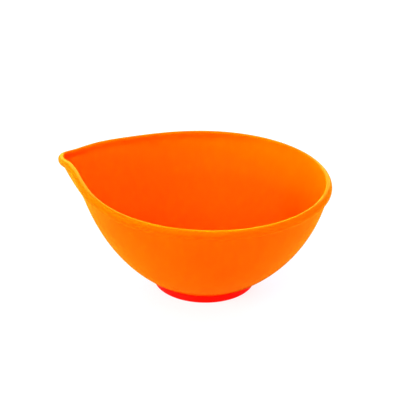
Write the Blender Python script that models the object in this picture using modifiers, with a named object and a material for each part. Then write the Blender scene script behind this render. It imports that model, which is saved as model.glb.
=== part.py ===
"""A hair colour bowl: a moulded bowl with a rolled rim and a pouring spout, on a press-on non-slip foot ring.

Lengths are in metres and +Z is up. The foot ring rests on z = 0, the spout points along -X, and the
origin lies under the middle of the bowl's whole length.
"""

import math

import bpy

# Bowl wall and rim
RIM_RADIUS = 0.0650  # outside of the rim bead, away from the spout
BOWL_HEIGHT = 0.0624  # table to the top of the rim
WALL_THICKNESS = 0.00225
BEAD_OVERHANG = 0.0014  # how far the rim bead stands out past the wall under it
WALL_TURN = math.radians(52.0)  # angle the wall's arc turns through between foot and rim
RIM_SETBACK = 0.0030  # how far the rim's circle lies behind the foot's axis, away from the spout

# Pouring spout
SPOUT_REACH = 0.0307  # how far the tip stands out past the round rim
SPOUT_DIP = 0.0050  # how far the tip lies below the rest of the rim
SPOUT_HALF_ANGLE = math.radians(15.0)  # from the tip to where half of the reach is left
SPOUT_SHARPNESS = 1.7  # power of the fall from the tip to the round rim
DIP_HALF_ANGLE = math.radians(9.2)  # the same two for the dip, which lies close round the tip
DIP_SHARPNESS = 3.2

# Floor and foot
FLOOR_THICKNESS = 0.0018  # over the seat that the foot ring presses against
FLOOR_FILLET = 0.0120  # between the flat floor and the wall, inside
BASE_THICKNESS = 0.0024  # floor over the recess inside the spigot
SPIGOT_CLEARANCE = 0.0012  # table to the underside of the spigot
SPIGOT_WIDTH = 0.0035
LIP_DEPTH = 0.0006  # how far the retaining lip stands out at the spigot's lower edge
LIP_LAND = 0.0004  # flat of the lip between its two slopes

# Foot ring
RING_RADIUS = 0.0280
RING_WIDTH = 0.0046  # at its top, where it grips the spigot
RING_GRIP = 0.0009  # height of that grip, over the spigot's lip
RING_CHAMFER = 0.0005  # on its edges at the table

# Clearance between the two pieces
FIT_GAP = 0.0003

# Mesh fineness
TURN_STEPS = 96
WALL_SEGMENTS = 9
FILLET_SEGMENTS = 3
BEAD_SEGMENTS = 9
SPOUT_CROWDING = 0.5  # share by which the faces narrow towards the spout

# Sizes that follow from those above
LIP_BOTTOM = SPIGOT_CLEARANCE + LIP_DEPTH
LIP_TOP = LIP_BOTTOM + LIP_LAND
RING_HEIGHT = LIP_TOP + LIP_DEPTH + FIT_GAP + RING_GRIP
SEAT_HEIGHT = RING_HEIGHT + FIT_GAP
FLOOR_HEIGHT = SEAT_HEIGHT + FLOOR_THICKNESS
BEAD_RADIUS = (WALL_THICKNESS + BEAD_OVERHANG) / 2
SPIGOT_RADIUS = RING_RADIUS - RING_WIDTH - FIT_GAP
LIP_RADIUS = SPIGOT_RADIUS + LIP_DEPTH
FOOT_AXIS_X = SPOUT_REACH / 2 - RIM_SETBACK

BOWL_ORANGE = (1.0, 0.12, 0.0, 1.0)
FOOT_RED = (0.85, 0.01, 0.005, 1.0)


class WallArc:
    """The arc of the wall's outside, in the plane of radius and height, from the foot to the rim."""

    def __init__(self):
        foot = (RING_RADIUS, SEAT_HEIGHT)
        rim = (RIM_RADIUS - BEAD_OVERHANG, BOWL_HEIGHT - BEAD_RADIUS)
        run = rim[0] - foot[0]
        rise = rim[1] - foot[1]
        self.radius = math.hypot(run, rise) / (2 * math.sin(WALL_TURN / 2))
        self.foot_slope = math.atan2(rise, run) - WALL_TURN / 2
        self.centre_r = foot[0] - self.radius * math.sin(self.foot_slope)
        self.centre_z = foot[1] + self.radius * math.cos(self.foot_slope)

    def point(self, slope, depth=0.0):
        """The point where the wall has this slope, so far in from the outside."""
        reach = self.radius - depth
        return self.centre_r + reach * math.sin(slope), self.centre_z - reach * math.cos(slope)

    def slope_at_height(self, height, depth=0.0):
        return math.acos((self.centre_z - height) / (self.radius - depth))

    def share(self, r, z):
        """How far up the wall a point lies, from 0 at the foot to 1 at the rim."""
        slope = math.atan2(r - self.centre_r, self.centre_z - z)
        return min(max((slope - self.foot_slope) / WALL_TURN, 0.0), 1.0)

    def outside_radius(self, share):
        return self.point(self.foot_slope + share * WALL_TURN)[0]


def spread(start, end, segments):
    return [start + (end - start) * i / segments for i in range(segments + 1)]


def floor_points(wall):
    """From the floor's middle along its flat and up the fillet, with the slope where the wall begins."""
    across = wall.radius - WALL_THICKNESS - FLOOR_FILLET
    centre_z = FLOOR_HEIGHT + FLOOR_FILLET
    slope = math.acos((wall.centre_z - centre_z) / across)
    centre_r = wall.centre_r + across * math.sin(slope)
    fillet = [
        (centre_r + FLOOR_FILLET * math.sin(a), centre_z - FLOOR_FILLET * math.cos(a))
        for a in spread(0.0, slope, FILLET_SEGMENTS)
    ]
    return [(0.0, FLOOR_HEIGHT)] + fillet, slope


def bead_points():
    """Over the rim bead, from its inside to just short of its underside."""
    centre_r = RIM_RADIUS - BEAD_RADIUS
    centre_z = BOWL_HEIGHT - BEAD_RADIUS
    angles = spread(math.pi, -math.pi / 2, BEAD_SEGMENTS)[:-1]
    return [(centre_r + BEAD_RADIUS * math.cos(a), centre_z + BEAD_RADIUS * math.sin(a)) for a in angles]


def wall_points(wall, first_slope, last_slope, depth=0.0):
    return [wall.point(a, depth) for a in spread(first_slope, last_slope, WALL_SEGMENTS)]


def bowl_profile(wall):
    """The bowl's section, from the floor's middle over the rim and down the outside to the base's middle."""
    bead_bottom = BOWL_HEIGHT - 2 * BEAD_RADIUS
    floor, wall_start = floor_points(wall)
    inside_top = wall.slope_at_height(bead_bottom, WALL_THICKNESS)
    inside = wall_points(wall, wall_start, inside_top, WALL_THICKNESS)
    outside = wall_points(wall, wall.slope_at_height(bead_bottom), wall.foot_slope)
    spigot = [
        (SPIGOT_RADIUS, SEAT_HEIGHT),
        (SPIGOT_RADIUS, LIP_TOP + LIP_DEPTH),
        (LIP_RADIUS, LIP_TOP),
        (LIP_RADIUS, LIP_BOTTOM),
        (SPIGOT_RADIUS, SPIGOT_CLEARANCE),
        (SPIGOT_RADIUS - SPIGOT_WIDTH, SPIGOT_CLEARANCE),
        (SPIGOT_RADIUS - SPIGOT_WIDTH, FLOOR_HEIGHT - BASE_THICKNESS),
        (0.0, FLOOR_HEIGHT - BASE_THICKNESS),
    ]
    return floor[:-1] + inside + bead_points() + outside + spigot


def ring_profile():
    """The foot ring's section, a hook over the spigot's lip, from its inner top edge and round to it."""
    grip = RING_RADIUS - RING_WIDTH
    relief = LIP_RADIUS + FIT_GAP
    hook = RING_HEIGHT - RING_GRIP
    return [
        (grip, RING_HEIGHT),
        (RING_RADIUS, RING_HEIGHT),
        (RING_RADIUS, RING_CHAMFER),
        (RING_RADIUS - RING_CHAMFER, 0.0),
        (relief + RING_CHAMFER, 0.0),
        (relief, RING_CHAMFER),
        (relief, hook - LIP_DEPTH),
        (grip, hook),
        (grip, RING_HEIGHT),
    ]


def turned(name, profile, collection):
    """A profile of (radius, height) points turned about the Z axis."""
    mesh = bpy.data.meshes.new(name)
    edges = [(i, i + 1) for i in range(len(profile) - 1)]
    mesh.from_pydata([(r, 0.0, z) for r, z in profile], edges, [])
    piece = bpy.data.objects.new(name, mesh)
    collection.objects.link(piece)
    screw = piece.modifiers.new("turn", "SCREW")
    screw.angle = 2 * math.pi
    screw.steps = TURN_STEPS
    screw.render_steps = TURN_STEPS
    screw.use_merge_vertices = True
    screw.merge_threshold = 0.00001
    return piece


def applied(piece):
    """Makes the piece's modifiers part of its mesh."""
    graph = bpy.context.evaluated_depsgraph_get()
    mesh = bpy.data.meshes.new_from_object(piece.evaluated_get(graph))
    piece.modifiers.clear()
    old = piece.data
    piece.data = mesh
    bpy.data.meshes.remove(old)
    mesh.name = piece.name
    return mesh


def bell(angle, half_angle, sharpness):
    """A share that is 1 at the spout's tip, about a half at the half angle and 0 at the back, and its slope."""
    back = 1.0 / (1.0 + (math.pi / half_angle) ** sharpness)
    ratio = (abs(angle) / half_angle) ** sharpness
    share = 1.0 / (1.0 + ratio)
    slope = -sharpness * ratio * share * share / angle if angle else 0.0
    return (share - back) / (1.0 - back), slope / (1.0 - back)


def drawn_to_spout(wall, x, y, z):
    """Where a point of the round bowl goes when the wall is drawn out into the spout.

    Each level of the wall becomes a teardrop, set further back the higher it lies, and the point keeps its
    distance from the wall's outside, square to that teardrop. So the wall and the bead stay as thick along
    the spout as elsewhere.
    """
    r = math.hypot(x, y)
    turn = math.atan2(-y, -x)
    angle = turn - SPOUT_CROWDING * math.sin(turn)
    rise = wall.share(r, z)
    share, slope = bell(angle, SPOUT_HALF_ANGLE, SPOUT_SHARPNESS)
    dip, _ = bell(angle, DIP_HALF_ANGLE, DIP_SHARPNESS)
    line = wall.outside_radius(rise) + SPOUT_REACH * rise * share
    lean = SPOUT_REACH * rise * slope
    offset = r - wall.outside_radius(rise)
    length = math.hypot(line, lean)
    out = line + offset * line / length
    side = -offset * lean / length
    return (
        RIM_SETBACK * rise - out * math.cos(angle) + side * math.sin(angle),
        -out * math.sin(angle) - side * math.cos(angle),
        z - SPOUT_DIP * rise * dip,
    )


def smooth_shaded(mesh):
    mesh.shade_smooth()
    mesh.set_sharp_from_angle(angle=math.radians(35.0))


def bowl(collection):
    wall = WallArc()
    piece = turned("bowl", bowl_profile(wall), collection)
    mesh = applied(piece)
    for vertex in mesh.vertices:
        vertex.co = drawn_to_spout(wall, *vertex.co)
    return piece


def foot_ring(collection):
    piece = turned("foot_ring", ring_profile(), collection)
    applied(piece)
    return piece


def material(name, colour, roughness):
    made = bpy.data.materials.new(name)
    made.use_nodes = True
    shader = made.node_tree.nodes["Principled BSDF"]
    shader.inputs["Base Color"].default_value = colour
    shader.inputs["Roughness"].default_value = roughness
    shader.inputs["Metallic"].default_value = 0.0
    made.diffuse_color = colour
    return made


def main():
    for old in list(bpy.data.objects):
        bpy.data.objects.remove(old)
    collection = bpy.data.collections.new("hair_color_bowl")
    bpy.context.scene.collection.children.link(collection)
    pieces = {
        bowl(collection): material("orange moulded plastic", BOWL_ORANGE, 0.25),
        foot_ring(collection): material("red foot rubber", FOOT_RED, 0.5),
    }
    for piece, finish in pieces.items():
        piece.data.materials.append(finish)
        smooth_shaded(piece.data)
        piece.location.x = FOOT_AXIS_X


main()
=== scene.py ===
"""Dresses the hair color bowl: a glossy moulded bowl with a pouring spout, on a red rubber foot ring.

Lengths are in metres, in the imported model's frame: the foot ring rests on z = 0, and the spout points
along -X.
"""

import math
from collections import namedtuple

import bpy
from mathutils import Matrix, Vector
from mathutils.geometry import intersect_sphere_sphere_2d


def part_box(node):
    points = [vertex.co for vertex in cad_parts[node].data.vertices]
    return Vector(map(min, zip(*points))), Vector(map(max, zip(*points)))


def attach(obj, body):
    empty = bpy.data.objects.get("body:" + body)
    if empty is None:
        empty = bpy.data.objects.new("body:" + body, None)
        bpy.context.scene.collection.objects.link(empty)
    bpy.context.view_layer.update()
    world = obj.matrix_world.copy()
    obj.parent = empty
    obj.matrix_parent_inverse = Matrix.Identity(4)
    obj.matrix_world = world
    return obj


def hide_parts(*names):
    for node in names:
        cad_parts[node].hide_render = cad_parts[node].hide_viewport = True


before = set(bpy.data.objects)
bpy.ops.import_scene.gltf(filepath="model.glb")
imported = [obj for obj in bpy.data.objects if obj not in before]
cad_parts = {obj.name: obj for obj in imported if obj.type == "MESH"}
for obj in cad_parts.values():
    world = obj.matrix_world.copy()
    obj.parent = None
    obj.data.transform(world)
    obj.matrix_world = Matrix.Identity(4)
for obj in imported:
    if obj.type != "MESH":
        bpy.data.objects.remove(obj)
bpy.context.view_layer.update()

# Sizes of the bowl and the foot ring, as in the solids
WALL_THICKNESS = 0.00225
BEAD_OVERHANG = 0.0014
WALL_TURN = math.radians(52.0)
RIM_SETBACK = 0.0030  # of the rim's circle behind the foot's axis
SPOUT_DIP = 0.0050
SPOUT_HALF_ANGLE = math.radians(15.0)
SPOUT_SHARPNESS = 1.7
DIP_HALF_ANGLE = math.radians(9.2)
DIP_SHARPNESS = 3.2
FLOOR_THICKNESS = 0.0018
FLOOR_FILLET = 0.0120
BASE_THICKNESS = 0.0024
SPIGOT_WIDTH = 0.0035
LIP_DEPTH = 0.0006
LIP_LAND = 0.0004
RING_WIDTH = 0.0046
RING_GRIP = 0.0009
FIT_GAP = 0.0003
FACET_DEPTH = 0.00004  # by which the solids' flat faces cut inside the round rim

# Sizes read from the frame
BOWL_LOW, BOWL_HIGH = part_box("bowl")
RING_LOW, RING_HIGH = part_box("foot_ring")
FOOT_AXIS_X = (RING_LOW.x + RING_HIGH.x) / 2
RIM_AXIS_X = FOOT_AXIS_X + RIM_SETBACK
RIM_RADIUS = BOWL_HIGH.x - RIM_AXIS_X - FACET_DEPTH
BOWL_HEIGHT = BOWL_HIGH.z
SPOUT_REACH = RIM_AXIS_X - RIM_RADIUS - BOWL_LOW.x
SPIGOT_BOTTOM = BOWL_LOW.z
RING_RADIUS = (RING_HIGH.x - RING_LOW.x) / 2
RING_HEIGHT = RING_HIGH.z

# Roundings that only the finished surface has
CREST_RADIUS = 0.0009  # along the bead's inner edge, where it is highest
CREST_TILT = math.radians(76.0)  # up from outwards, where the crest gives way to the bead's long slope
CURL_RADIUS = 0.0012  # under the bead's outer edge
BEAD_FILLET = 0.0018  # hollow under the rim bead
FOOT_ROUND = 0.0006
SPIGOT_ROUND = 0.0003
LIP_ROUND = 0.00015
RING_ROUND = 0.0011
RING_TOP_ROUND = 0.0003
GATE_RADIUS = 0.0016  # the mark where the plastic entered the mould, in the middle of the base
GATE_HEIGHT = 0.0005
GATE_ROUND = 0.0002

# Fineness of the finished meshes
BOWL_STEPS = 384
RING_STEPS = 256
SPOUT_CROWDING = 0.5  # share by which the faces narrow towards the spout
WALL_SEGMENTS = 48
BEAD_SEGMENTS = 20
FILLET_SEGMENTS = 12
FLOOR_SEGMENTS = 8
CORNER_SEGMENTS = 5
MERGE_DISTANCE = 0.000001
SHARP_ANGLE = math.radians(40.0)

# Sizes that follow from those above
SEAT_HEIGHT = RING_HEIGHT + FIT_GAP
FLOOR_HEIGHT = SEAT_HEIGHT + FLOOR_THICKNESS
BASE_HEIGHT = FLOOR_HEIGHT - BASE_THICKNESS
LIP_BOTTOM = SPIGOT_BOTTOM + LIP_DEPTH
LIP_TOP = LIP_BOTTOM + LIP_LAND
SPIGOT_RADIUS = RING_RADIUS - RING_WIDTH - FIT_GAP
LIP_RADIUS = SPIGOT_RADIUS + LIP_DEPTH
BEAD_RADIUS = (WALL_THICKNESS + BEAD_OVERHANG) / 2  # of the solids' round bead

# The arc of the wall's outside, in the plane of radius and height
WALL_FOOT = Vector((RING_RADIUS, SEAT_HEIGHT))
WALL_TOP = Vector((RIM_RADIUS - BEAD_OVERHANG, BOWL_HEIGHT - BEAD_RADIUS))
WALL_CHORD = WALL_TOP - WALL_FOOT
WALL_RADIUS = WALL_CHORD.length / (2 * math.sin(WALL_TURN / 2))
FOOT_SLOPE = math.atan2(WALL_CHORD.y, WALL_CHORD.x) - WALL_TURN / 2
RIM_SLOPE = FOOT_SLOPE + WALL_TURN
WALL_CENTRE = WALL_FOOT + WALL_RADIUS * Vector((-math.sin(FOOT_SLOPE), math.cos(FOOT_SLOPE)))
RIGHT_ANGLE = math.pi / 2

# Camera
CAMERA_TURN = math.radians(26.66)  # round from -Y towards +X
CAMERA_RISE = math.radians(25.74)
CAMERA_ROLL = math.radians(0.746)
CAMERA_DISTANCE = 0.700
CAMERA_SIDESTEP = -0.0029  # its aim, to the right of the foot's axis
CAMERA_AIM_HEIGHT = 0.0482
CAMERA_LENS = 116.44  # millimetres
SENSOR_WIDTH = 36.0  # millimetres

# Light and floor, with each softbox's turn, round from the camera, and its rise in degrees
Softbox = namedtuple("Softbox", "turn rise distance width height watts")
SOFTBOXES = {
    "overhead": Softbox(0.0, 80.0, 1.5, 1.6, 1.6, 18.0),
    "front_low": Softbox(-20.0, 7.0, 1.5, 1.2, 0.3, 11.0),
    "key": Softbox(-45.0, 17.0, 1.4, 1.0, 0.8, 15.0),
    "fill": Softbox(55.0, 5.0, 1.4, 0.9, 0.4, 11.5),
    "left_low": Softbox(-75.0, 6.0, 1.3, 1.2, 0.4, 43.0),
    "right_low": Softbox(85.0, 2.5, 1.3, 1.2, 0.14, 11.5),
    "back_right": Softbox(125.0, 18.0, 1.5, 1.2, 0.9, 5.0),
    "back": Softbox(180.0, 14.0, 1.4, 1.8, 0.6, 22.0),
    "rim_light": Softbox(180.0, 22.0, 1.4, 1.8, 0.9, 29.0),
}
MIRRORED_SOFTBOXES = {"rim_light"}  # those that show in the gloss, as the pale line along the rim
WHITE = "#FFFFFF"
COOL_WHITE = "#A6AEFF"  # of the mirrored ones, because the golden gloss takes out most of their blue
SURROUND_STRENGTH = 0.52
FLOOR_SIZE = 6.0
FLOOR_DROP = 0.00005  # keeps the floor just clear of the foot ring's underside
CARD_DROP = 2 * FLOOR_DROP  # puts the hidden card just under the floor
FLOOR_GLOW = 0.80

# Surfaces and their patterns, with sizes in metres
PLASTIC_IOR = 1.5
GLOW_DEPTH = 0.008  # to which light spreads within the plastic
MATT_ROUGHNESS = 0.9  # of the floor and of the card under it
PAINTED_RIM_LIGHT_START = 0.99  # share of the climb up the wall, past 1 on the bead, from which the rim is painted lighter, a painted glow of light
PAINTED_RIM_LIGHT_END = 1.02
PAINTED_LIGHT_TURN = math.radians(55.0)  # of the way that the orange is painted lighter, as painted light and shade, round from +X towards +Y
FLOW_WIDTH = 0.004  # across a streak of the melt's flow
FLOW_LENGTH = 0.080
FLOW_CONTRAST = 0.05
WAVE_SIZE = 0.012  # from crest to crest of the moulded skin, and across the rubber's clouds of colour
WAVE_DEPTH = 0.000006
PEEL_SIZE = 0.0010  # across the skin's finer dimples
PEEL_DEPTH = 0.0000012
GRAIN_SIZE = 0.0006  # coarser than a mould's real grain of about 0.1 mm, so that it shows
GRAIN_DEPTH = 0.00002
NOISE_LOW = 0.3  # nearly all of a noise lies between these two
NOISE_HIGH = 0.7
NOISE_DETAIL = 2.0

# Sockets of a mix of colours, whose names the sockets of other mixes share
MIX_SHARE = 0
MIX_FIRST = 6
MIX_SECOND = 7
MIX_COLOUR = 2  # among the outputs


def spread(start, end, segments):
    return [start + (end - start) * i / segments for i in range(segments + 1)]


def heading(vector):
    return math.atan2(vector.y, vector.x)


def arc(centre, radius, start, end, segments):
    """Points of an arc in the plane of radius and height, with angles from outwards towards upwards."""
    return [centre + radius * Vector((math.cos(a), math.sin(a))) for a in spread(start, end, segments)]


def rounded(corners):
    """A path through corners of (radius, height, rounding), from the first to the last."""
    points = [Vector(corners[0][:2])]
    for before, (r, z, rounding), after in zip(corners, corners[1:], corners[2:]):
        corner = Vector((r, z))
        back = rounding * (Vector(before[:2]) - corner).normalized()
        on = rounding * (Vector(after[:2]) - corner).normalized()
        points += [corner + (1 - s) ** 2 * back + s**2 * on for s in spread(0.0, 1.0, CORNER_SEGMENTS)]
    return points + [Vector(corners[-1][:2])]


def base_section():
    """The bowl's underside, from the gate mark in its middle over the spigot to the start of the wall."""
    inside = SPIGOT_RADIUS - SPIGOT_WIDTH
    wall_ends = FOOT_SLOPE - RIGHT_ANGLE, RIM_SLOPE - RIGHT_ANGLE
    wall_start = arc(WALL_CENTRE, WALL_RADIUS, *wall_ends, WALL_SEGMENTS)[1]
    return rounded([
        (0.0, BASE_HEIGHT - GATE_HEIGHT, 0.0),
        (GATE_RADIUS, BASE_HEIGHT - GATE_HEIGHT, GATE_ROUND),
        (GATE_RADIUS + GATE_HEIGHT, BASE_HEIGHT, GATE_ROUND),
        (inside, BASE_HEIGHT, SPIGOT_ROUND),
        (inside, SPIGOT_BOTTOM, SPIGOT_ROUND),
        (SPIGOT_RADIUS, SPIGOT_BOTTOM, SPIGOT_ROUND),
        (LIP_RADIUS, LIP_BOTTOM, LIP_ROUND),
        (LIP_RADIUS, LIP_TOP, LIP_ROUND),
        (SPIGOT_RADIUS, LIP_TOP + LIP_DEPTH, LIP_ROUND),
        (SPIGOT_RADIUS, SEAT_HEIGHT, SPIGOT_ROUND),
        (*WALL_FOOT, FOOT_ROUND),
        (*wall_start, 0.0),
    ])


def bead_circles():
    """The centres and radii of the bead's crest, slope and curl, each circle touching the next."""
    along = Vector((math.cos(RIM_SLOPE), math.sin(RIM_SLOPE)))
    out = Vector((along.y, -along.x))
    wall_top = WALL_CENTRE + (WALL_RADIUS - WALL_THICKNESS + CREST_RADIUS) * out
    crest = wall_top + (BOWL_HEIGHT - CREST_RADIUS - wall_top.y) / along.y * along
    tilt = Vector((math.cos(CREST_TILT), math.sin(CREST_TILT)))
    slope_radius = (RIM_RADIUS - crest.x - CREST_RADIUS * tilt.x) / (1 - tilt.x)
    slope = crest + (CREST_RADIUS - slope_radius) * tilt
    curl = Vector((RIM_RADIUS - CURL_RADIUS, slope.y))
    return (crest, CREST_RADIUS), (slope, slope_radius), (curl, CURL_RADIUS)


def outside_section():
    """Up the outside of the wall, through the hollow under the bead and over the bead to its inner edge."""
    crest, slope, curl = bead_circles()
    reaches = curl[0], CURL_RADIUS + BEAD_FILLET, WALL_CENTRE, WALL_RADIUS + BEAD_FILLET
    hollow = min(intersect_sphere_sphere_2d(*reaches), key=lambda point: point.y)
    wall_end = heading(hollow - WALL_CENTRE)
    wall = arc(WALL_CENTRE, WALL_RADIUS, FOOT_SLOPE - RIGHT_ANGLE, wall_end, WALL_SEGMENTS)[2:-1]
    ends = heading(WALL_CENTRE - hollow), heading(curl[0] - hollow)
    fillet = arc(hollow, BEAD_FILLET, *ends, FILLET_SEGMENTS)[:-1]
    under = arc(*curl, heading(hollow - curl[0]), 0.0, FILLET_SEGMENTS)[:-1]
    slant = arc(*slope, 0.0, CREST_TILT, BEAD_SEGMENTS)[:-1]
    top = arc(*crest, CREST_TILT, RIM_SLOPE + RIGHT_ANGLE, BEAD_SEGMENTS)
    return wall + fillet + under + slant + top


def inside_section():
    """Down the inside of the wall, round the fillet and along the floor to its middle."""
    wall_reach = WALL_RADIUS - WALL_THICKNESS
    fillet_z = FLOOR_HEIGHT + FLOOR_FILLET
    slope = math.acos((WALL_CENTRE.y - fillet_z) / (wall_reach - FLOOR_FILLET))
    fillet_centre = Vector((WALL_CENTRE.x + (wall_reach - FLOOR_FILLET) * math.sin(slope), fillet_z))
    wall = arc(WALL_CENTRE, wall_reach, RIM_SLOPE - RIGHT_ANGLE, slope - RIGHT_ANGLE, WALL_SEGMENTS)[1:-1]
    fillet = arc(fillet_centre, FLOOR_FILLET, slope - RIGHT_ANGLE, -RIGHT_ANGLE, FILLET_SEGMENTS)
    floor = [Vector((r, FLOOR_HEIGHT)) for r in spread(fillet_centre.x, 0.0, FLOOR_SEGMENTS)[1:]]
    return wall + fillet + floor


def ring_section():
    """The foot ring's section, a hook over the spigot's lip, round from the middle of its underside."""
    grip = RING_RADIUS - RING_WIDTH
    relief = LIP_RADIUS + FIT_GAP
    hook = RING_HEIGHT - RING_GRIP
    middle = ((relief + RING_RADIUS) / 2, 0.0, 0.0)
    return rounded([
        middle,
        (RING_RADIUS, 0.0, RING_ROUND),
        (RING_RADIUS, RING_HEIGHT, RING_TOP_ROUND),
        (grip, RING_HEIGHT, RING_TOP_ROUND),
        (grip, hook, LIP_ROUND),
        (relief, hook - LIP_DEPTH, LIP_ROUND),
        (relief, 0.0, RING_ROUND),
        middle,
    ])


def add(tree, kind, inputs=(), **settings):
    """Adds a node with its settings, and its inputs by place or name: values, sockets or nodes to link."""
    node = tree.nodes.new(kind)
    for name, value in settings.items():
        setattr(node, name, value)
    for key, value in inputs.items() if isinstance(inputs, dict) else enumerate(inputs):
        if isinstance(value, bpy.types.Node):
            value = value.outputs[0]
        if isinstance(value, bpy.types.NodeSocket):
            tree.links.new(value, node.inputs[key])
        else:
            node.inputs[key].default_value = value
    return node


TREE_INPUTS = {
    "Geometry": "NodeSocketGeometry",
    "Steps": "NodeSocketInt",
    "Crowding": "NodeSocketFloat",
    "Foot Axis X": "NodeSocketFloat",
    "Rim Setback": "NodeSocketFloat",
    "Wall Centre R": "NodeSocketFloat",
    "Wall Centre Z": "NodeSocketFloat",
    "Wall Radius": "NodeSocketFloat",
    "Foot Slope": "NodeSocketFloat",
    "Rim Slope": "NodeSocketFloat",
    "Spout Reach": "NodeSocketFloat",
    "Spout Dip": "NodeSocketFloat",
    "Spout Half Angle": "NodeSocketFloat",
    "Spout Sharpness": "NodeSocketFloat",
    "Dip Half Angle": "NodeSocketFloat",
    "Dip Sharpness": "NodeSocketFloat",
    "Material": "NodeSocketMaterial",
}


def section_grid(tree, given):
    """A flat grid with a row for each step of the turn, and each vertex's angle and point of the section.

    The last row has the first row's step, so that the two meet and the seam closes.
    """
    points = add(tree, "GeometryNodeAttributeDomainSize", [given["Geometry"]]).outputs["Point Count"]
    rows = add(tree, "ShaderNodeMath", [given["Steps"], 1.0], operation="ADD")
    grid = add(tree, "GeometryNodeMeshGrid", {"Vertices X": rows, "Vertices Y": points})
    index = add(tree, "GeometryNodeInputIndex")
    row = add(tree, "ShaderNodeMath", [index, points], operation="DIVIDE")
    count = add(tree, "ShaderNodeMath", [row], operation="FLOOR")
    step = add(tree, "ShaderNodeMath", [count, given["Steps"]], operation="MODULO")
    place = add(tree, "ShaderNodeMath", [index, points], operation="MODULO")
    position = add(tree, "GeometryNodeInputPosition")
    point = add(
        tree, "GeometryNodeSampleIndex",
        {"Geometry": given["Geometry"], "Value": position, "Index": place}, data_type="FLOAT_VECTOR",
    )
    turn = add(
        tree, "ShaderNodeMapRange",
        {"Value": step, "From Max": given["Steps"], "To Min": -math.pi, "To Max": math.pi},
    )
    sway = add(tree, "ShaderNodeMath", [turn], operation="SINE")
    crowd = add(tree, "ShaderNodeMath", [sway, given["Crowding"]], operation="MULTIPLY")
    angle = add(tree, "ShaderNodeMath", [turn, crowd], operation="SUBTRACT")
    return grid, angle, point


def bell(tree, angle, half_angle, sharpness):
    """A share with its fall: 1 at the spout's tip, about a half at the half angle and 0 at the back."""
    ratios = []
    bells = []
    for side in (angle, math.pi):
        away = add(tree, "ShaderNodeMath", [side], operation="ABSOLUTE")
        near = add(tree, "ShaderNodeMath", [away, half_angle], operation="DIVIDE")
        ratio = add(tree, "ShaderNodeMath", [near, sharpness], operation="POWER")
        below = add(tree, "ShaderNodeMath", [ratio, 1.0], operation="ADD")
        ratios.append(ratio)
        bells.append(add(tree, "ShaderNodeMath", [1.0, below], operation="DIVIDE"))
    share = add(tree, "ShaderNodeMapRange", {"Value": bells[0], "From Min": bells[1]}, clamp=False)
    height = add(tree, "ShaderNodeMath", [1.0, bells[1]], operation="SUBTRACT")
    steepness = add(tree, "ShaderNodeMath", [sharpness, height], operation="DIVIDE")
    square = add(tree, "ShaderNodeMath", [bells[0], 2.0], operation="POWER")
    flank = add(tree, "ShaderNodeMath", [ratios[0], square], operation="MULTIPLY")
    steep = add(tree, "ShaderNodeMath", [flank, steepness], operation="MULTIPLY")
    fall = add(tree, "ShaderNodeMath", [steep, angle], operation="DIVIDE")
    return share, fall


def place_on_wall(tree, given, part):
    """A point's share of the climb up the wall, clamped and unclamped, and the round wall's radius."""
    across = add(tree, "ShaderNodeMath", [part.outputs["X"], given["Wall Centre R"]], operation="SUBTRACT")
    down = add(tree, "ShaderNodeMath", [given["Wall Centre Z"], part.outputs["Z"]], operation="SUBTRACT")
    slope = add(tree, "ShaderNodeMath", [across, down], operation="ARCTAN2")
    slopes = {"From Min": given["Foot Slope"], "From Max": given["Rim Slope"]}
    rise = add(tree, "ShaderNodeMapRange", {"Value": slope, **slopes})
    climb = add(tree, "ShaderNodeMapRange", {"Value": slope, **slopes}, clamp=False)
    wall_slope = add(tree, "ShaderNodeClamp", [slope, given["Foot Slope"], given["Rim Slope"]])
    level = add(tree, "ShaderNodeMath", [wall_slope], operation="SINE")
    arm = [level, given["Wall Radius"], given["Wall Centre R"]]
    return rise, climb, add(tree, "ShaderNodeMath", arm, operation="MULTIPLY_ADD")


def turned_into_place(tree, given, angle, rise, moved):
    """A point of the section turned by its angle, about an axis that moves back as the wall rises."""
    bearing = add(tree, "ShaderNodeMath", [angle, math.pi], operation="ADD")
    spin = {"Vector": moved, "Angle": bearing}
    turned = add(tree, "ShaderNodeVectorRotate", spin, rotation_type="Z_AXIS")
    setback = [rise, given["Rim Setback"], given["Foot Axis X"]]
    axis_x = add(tree, "ShaderNodeMath", setback, operation="MULTIPLY_ADD")
    axis = add(tree, "ShaderNodeCombineXYZ", [axis_x])
    return add(tree, "ShaderNodeVectorMath", [turned, axis], operation="ADD")


def drawn_to_spout(tree, given, angle, point):
    """A point's place and climb, with the wall drawn out to the spout and as thick there as elsewhere."""
    part = add(tree, "ShaderNodeSeparateXYZ", [point])
    rise, climb, round_wall = place_on_wall(tree, given, part)
    share, fall = bell(tree, angle, given["Spout Half Angle"], given["Spout Sharpness"])
    dip_share, _ = bell(tree, angle, given["Dip Half Angle"], given["Dip Sharpness"])
    reach = add(tree, "ShaderNodeMath", [rise, given["Spout Reach"]], operation="MULTIPLY")
    outside = add(tree, "ShaderNodeMath", [reach, share, round_wall], operation="MULTIPLY_ADD")
    lean = add(tree, "ShaderNodeMath", [reach, fall], operation="MULTIPLY")
    depth = add(tree, "ShaderNodeMath", [part.outputs["X"], round_wall], operation="SUBTRACT")
    square_to_wall = add(tree, "ShaderNodeCombineXYZ", [outside, lean])
    normal = add(tree, "ShaderNodeVectorMath", [square_to_wall], operation="NORMALIZE")
    inset = add(tree, "ShaderNodeVectorMath", {"Vector": normal, "Scale": depth}, operation="SCALE")
    dip = add(tree, "ShaderNodeMath", [rise, given["Spout Dip"]], operation="MULTIPLY")
    drop = add(tree, "ShaderNodeMath", [dip, dip_share], operation="MULTIPLY")
    height = add(tree, "ShaderNodeMath", [part.outputs["Z"], drop], operation="SUBTRACT")
    wall_point = add(tree, "ShaderNodeCombineXYZ", [outside, 0.0, height])
    moved = add(tree, "ShaderNodeVectorMath", [wall_point, inset], operation="ADD")
    return turned_into_place(tree, given, angle, rise, moved), climb


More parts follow.
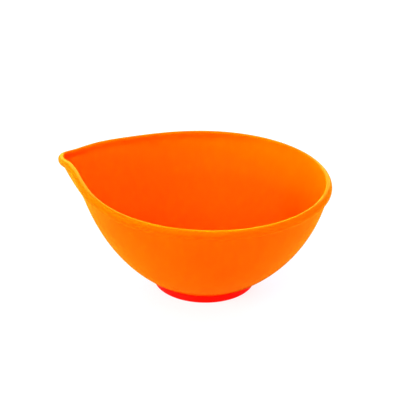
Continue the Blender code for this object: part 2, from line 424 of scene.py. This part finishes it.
def turned_section_tree():
    """A node tree that turns a section about the bowl's axis and draws its wall out into the spout."""
    tree = bpy.data.node_groups.new("turned_section", "GeometryNodeTree")
    for name, kind in TREE_INPUTS.items():
        tree.interface.new_socket(name, in_out="INPUT", socket_type=kind)
    tree.interface.new_socket("Geometry", in_out="OUTPUT", socket_type="NodeSocketGeometry")
    given = add(tree, "NodeGroupInput").outputs
    grid, angle, point = section_grid(tree, given)
    place, climb = drawn_to_spout(tree, given, angle, point)
    shaped = add(tree, "GeometryNodeSetPosition", {"Geometry": grid, "Position": place})
    mark = {"Geometry": shaped, "Name": "climb", "Value": climb}
    marked = add(tree, "GeometryNodeStoreNamedAttribute", mark)
    closed = add(tree, "GeometryNodeMergeByDistance", {"Geometry": marked, "Distance": MERGE_DISTANCE})
    smooth = add(tree, "GeometryNodeSetShadeSmooth", {"Geometry": closed})
    real = add(tree, "GeometryNodeRealizeInstances", [smooth])
    finished = add(tree, "GeometryNodeSetMaterial", {"Geometry": real, "Material": given["Material"]})
    add(tree, "NodeGroupOutput", [finished])
    return tree


def turned_piece(name, tree, section, sizes):
    """A named piece made by turning a section with these sizes for the tree's inputs, as a plain mesh."""
    line = bpy.data.meshes.new(name)
    edges = [(i, i + 1) for i in range(len(section) - 1)]
    line.from_pydata([(r, 0.0, z) for r, z in section], edges, [])
    piece = bpy.data.objects.new(name, line)
    bpy.context.scene.collection.objects.link(piece)
    modifier = piece.modifiers.new("turn", "NODES")
    modifier.node_group = tree
    for socket in tree.interface.items_tree:
        if socket.name in sizes:
            modifier[socket.identifier] = sizes[socket.name]
    graph = bpy.context.evaluated_depsgraph_get()
    mesh = bpy.data.meshes.new_from_object(piece.evaluated_get(graph))
    piece.modifiers.remove(modifier)
    piece.data = mesh
    bpy.data.meshes.remove(line)
    mesh.set_sharp_from_angle(angle=SHARP_ANGLE)
    return piece


def linear(colour):
    """A colour given as an sRGB hex value, as linear red, green and blue with full opacity."""
    parts = [int(colour[i : i + 2], 16) / 255 for i in (1, 3, 5)]
    return [p / 12.92 if p <= 0.04045 else ((p + 0.055) / 1.055) ** 2.4 for p in parts] + [1.0]


def new_material(name):
    material = bpy.data.materials.new(name)
    material.use_nodes = True
    material.node_tree.nodes.clear()
    return material, material.node_tree


def unevenness(tree, place, size, low, high):
    """An unevenness of a moulded surface in patches of about this size, as a number between two values."""
    noise = add(tree, "ShaderNodeTexNoise", {"Vector": place, "Scale": 1 / size, "Detail": NOISE_DETAIL})
    limits = {"From Min": NOISE_LOW, "From Max": NOISE_HIGH, "To Min": low, "To Max": high}
    return add(tree, "ShaderNodeMapRange", {"Value": noise, **limits})


def polypropylene_gloss_moulded():
    """Polypropylene from a polished mould: deep orange, glossy, and translucent enough to glow from within.

    Where the eye meets it at a slant, the clear skin over the pigment shines golden. The orange is painted
    deeper on one side of the spout and lighter across the bowl from it, as painted light and shade, with
    faint streaks of the melt's flow up the wall. The rim's edge is painted lighter, a painted glow of
    light, and the skin is very slightly wavy.
    """
    material, tree = new_material("polypropylene_gloss_moulded")
    place = add(tree, "ShaderNodeTexCoord").outputs["Object"]
    # Painted light and shade: the orange is lighter towards one side of the bowl and deeper on the spout's
    # side.
    turned = add(tree, "ShaderNodeMapping", {"Vector": place, "Rotation": (0.0, 0.0, -PAINTED_LIGHT_TURN)})
    along = add(tree, "ShaderNodeSeparateXYZ", [turned])
    length = {"From Min": BOWL_LOW.x, "From Max": BOWL_HIGH.x}
    painted_light_share = add(tree, "ShaderNodeMapRange", {"Value": along, **length})
    stretch = (1.0, 1.0, FLOW_WIDTH / FLOW_LENGTH)
    upright = add(tree, "ShaderNodeMapping", {"Vector": place, "Scale": stretch})
    streaks = unevenness(tree, upright, FLOW_WIDTH, -FLOW_CONTRAST, FLOW_CONTRAST)
    blend = add(tree, "ShaderNodeMath", [painted_light_share, streaks], operation="ADD")
    shaded_and_lit_oranges = {MIX_FIRST: linear("#FD3200"), MIX_SECOND: linear("#FD5400")}
    wall = add(tree, "ShaderNodeMix", {MIX_SHARE: blend, **shaded_and_lit_oranges}, data_type="RGBA")
    # Painted light: the rim's edge is painted a lighter orange, a painted glow where light catches the thin
    # rim.
    climb = add(tree, "ShaderNodeAttribute", attribute_name="climb").outputs["Fac"]
    bead = {"From Min": PAINTED_RIM_LIGHT_START, "From Max": PAINTED_RIM_LIGHT_END}
    painted_rim_light_share = add(tree, "ShaderNodeMapRange", {"Value": climb, **bead})
    wall_and_painted_rim_light = {MIX_FIRST: wall.outputs[MIX_COLOUR], MIX_SECOND: linear("#FF5300")}
    colour = add(tree, "ShaderNodeMix", {MIX_SHARE: painted_rim_light_share, **wall_and_painted_rim_light}, data_type="RGBA")
    waves = unevenness(tree, place, WAVE_SIZE, 0.0, WAVE_DEPTH)
    peel = unevenness(tree, place, PEEL_SIZE, 0.0, PEEL_DEPTH)
    relief = add(tree, "ShaderNodeMath", [waves, peel], operation="ADD")
    skin = add(tree, "ShaderNodeBump", {"Height": relief, "Distance": 1.0})
    shader = add(
        tree, "ShaderNodeBsdfPrincipled",
        {
            "Base Color": colour.outputs[MIX_COLOUR],
            "Roughness": 0.4,
            "IOR": PLASTIC_IOR,
            "Normal": skin,
            "Subsurface Weight": 1.0,
            "Subsurface Radius": (1.0, 1.0, 0.05),
            "Subsurface Scale": GLOW_DEPTH,
            "Specular IOR Level": 0.0,
        },
    )
    shine = {"Color": linear("#FFE434"), "Roughness": 0.12, "Normal": skin}
    gloss = add(tree, "ShaderNodeBsdfAnisotropic", shine)
    clear = add(tree, "ShaderNodeFresnel", {"IOR": PLASTIC_IOR, "Normal": skin})
    both = add(tree, "ShaderNodeMixShader", [clear, shader, gloss])
    add(tree, "ShaderNodeOutputMaterial", [both])
    return material


def rubber_moulded():
    """Moulded rubber: deep red, with a fine grain from the mould that spreads its shine to a satin."""
    material, tree = new_material("rubber_moulded")
    place = add(tree, "ShaderNodeTexCoord").outputs["Object"]
    blend = unevenness(tree, place, WAVE_SIZE, 0.0, 1.0)
    reds = {MIX_FIRST: linear("#CE0702"), MIX_SECOND: linear("#DA0A04")}
    colour = add(tree, "ShaderNodeMix", {MIX_SHARE: blend, **reds}, data_type="RGBA")
    grain = unevenness(tree, place, GRAIN_SIZE, 0.0, GRAIN_DEPTH)
    shader = add(
        tree, "ShaderNodeBsdfPrincipled",
        {
            "Base Color": colour.outputs[MIX_COLOUR],
            "Roughness": unevenness(tree, place, GRAIN_SIZE, 0.40, 0.52),
            "Normal": add(tree, "ShaderNodeBump", {"Height": grain, "Distance": 1.0}),
            "Specular IOR Level": 0.3,
            "Specular Tint": linear("#FF593F"),
        },
    )
    add(tree, "ShaderNodeOutputMaterial", [shader])
    return material


def opal_acrylic_backlit():
    """Opal acrylic lit from below, as on a studio table: white all over, with only a breath of shadow."""
    material, tree = new_material("opal_acrylic_backlit")
    glow = {"Emission Color": linear(WHITE), "Emission Strength": FLOOR_GLOW}
    surface = {"Base Color": linear("#808080"), "Roughness": MATT_ROUGHNESS, **glow}
    shader = add(tree, "ShaderNodeBsdfPrincipled", surface)
    add(tree, "ShaderNodeOutputMaterial", [shader])
    return material


def paper_matt():
    """Matt paper that throws a little light up at the bowl."""
    material, tree = new_material("paper_matt")
    surface = {"Base Color": linear("#B4B4B4"), "Roughness": MATT_ROUGHNESS}
    shader = add(tree, "ShaderNodeBsdfPrincipled", surface)
    add(tree, "ShaderNodeOutputMaterial", [shader])
    return material


def bowl_and_ring():
    tree = turned_section_tree()
    sizes = {
        "Steps": BOWL_STEPS,
        "Crowding": SPOUT_CROWDING,
        "Foot Axis X": FOOT_AXIS_X,
        "Rim Setback": RIM_SETBACK,
        "Wall Centre R": WALL_CENTRE.x,
        "Wall Centre Z": WALL_CENTRE.y,
        "Wall Radius": WALL_RADIUS,
        "Foot Slope": FOOT_SLOPE,
        "Rim Slope": RIM_SLOPE,
        "Spout Reach": SPOUT_REACH,
        "Spout Dip": SPOUT_DIP,
        "Spout Half Angle": SPOUT_HALF_ANGLE,
        "Spout Sharpness": SPOUT_SHARPNESS,
        "Dip Half Angle": DIP_HALF_ANGLE,
        "Dip Sharpness": DIP_SHARPNESS,
        "Material": polypropylene_gloss_moulded(),
    }
    section = base_section() + outside_section() + inside_section()
    bowl = turned_piece("moulded_bowl", tree, section, sizes)
    plain = {"Steps": RING_STEPS, "Crowding": 0.0, "Rim Setback": 0.0, "Spout Reach": 0.0, "Spout Dip": 0.0}
    ring_sizes = {**sizes, **plain, "Material": rubber_moulded()}
    ring = turned_piece("rubber_foot_ring", tree, ring_section(), ring_sizes)
    return bowl, ring


def floor():
    """A glowing floor that only the camera sees, over a hidden card that throws light up at the bowl."""
    bpy.ops.mesh.primitive_plane_add(size=FLOOR_SIZE, location=(0.0, 0.0, -FLOOR_DROP))
    sheet = bpy.context.object
    sheet.name = "floor"
    sheet.data.materials.append(opal_acrylic_backlit())
    sheet.visible_diffuse = False
    sheet.visible_glossy = False
    sheet.visible_shadow = False
    card = bpy.data.objects.new("bounce_card", sheet.data.copy())
    card.location.z = -CARD_DROP
    card.data.materials[0] = paper_matt()
    card.visible_camera = False
    bpy.context.scene.collection.objects.link(card)
    return sheet


def direction(turn, rise):
    """The way out from the bowl at an angle round from the camera and an angle up."""
    bearing = CAMERA_TURN + turn
    level = math.cos(rise)
    return Vector((math.sin(bearing) * level, -math.cos(bearing) * level, math.sin(rise)))


def softboxes():
    """Soft lamps round the bowl, out of the camera's sight. The gloss shows only the mirrored ones."""
    for name, box in SOFTBOXES.items():
        light = bpy.data.lights.new(name, "AREA")
        light.shape = "RECTANGLE"
        light.size = box.width
        light.size_y = box.height
        light.energy = box.watts
        mirrored = name in MIRRORED_SOFTBOXES
        light.color = linear(COOL_WHITE if mirrored else WHITE)[:3]
        lamp = bpy.data.objects.new(name, light)
        out = direction(math.radians(box.turn), math.radians(box.rise))
        lamp.location = Vector((FOOT_AXIS_X, 0.0, BOWL_HEIGHT / 2)) + box.distance * out
        lamp.rotation_euler = out.to_track_quat("Z", "Y").to_euler()
        lamp.visible_camera = False
        lamp.visible_glossy = mirrored
        bpy.context.scene.collection.objects.link(lamp)


def surround():
    """A white surround that the camera and the gloss see, and that lights nothing else."""
    world = bpy.data.worlds.new("studio")
    world.use_nodes = True
    background = world.node_tree.nodes["Background"]
    background.inputs["Color"].default_value = linear(WHITE)
    background.inputs["Strength"].default_value = SURROUND_STRENGTH
    bpy.context.scene.world = world
    world.cycles_visibility.diffuse = False


def camera():
    data = bpy.data.cameras.new("camera")
    data.lens = CAMERA_LENS
    data.sensor_width = SENSOR_WIDTH
    eye = bpy.data.objects.new("camera", data)
    back = direction(0.0, CAMERA_RISE)
    aside = Vector((math.cos(CAMERA_TURN), math.sin(CAMERA_TURN), 0.0))
    aim = Vector((FOOT_AXIS_X, 0.0, CAMERA_AIM_HEIGHT)) + CAMERA_SIDESTEP * aside
    look = back.to_track_quat("Z", "Y").to_matrix().to_4x4() @ Matrix.Rotation(CAMERA_ROLL, 4, "Z")
    eye.matrix_world = Matrix.Translation(aim + CAMERA_DISTANCE * back) @ look
    bpy.context.scene.collection.objects.link(eye)
    bpy.context.scene.camera = eye


bowl, ring = bowl_and_ring()
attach(bowl, "root")
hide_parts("bowl")
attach(ring, "root")
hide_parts("foot_ring")
floor()
softboxes()
surround()
camera()
bpy.context.scene.view_settings.view_transform = "Standard"  # strong light keeps its full colour
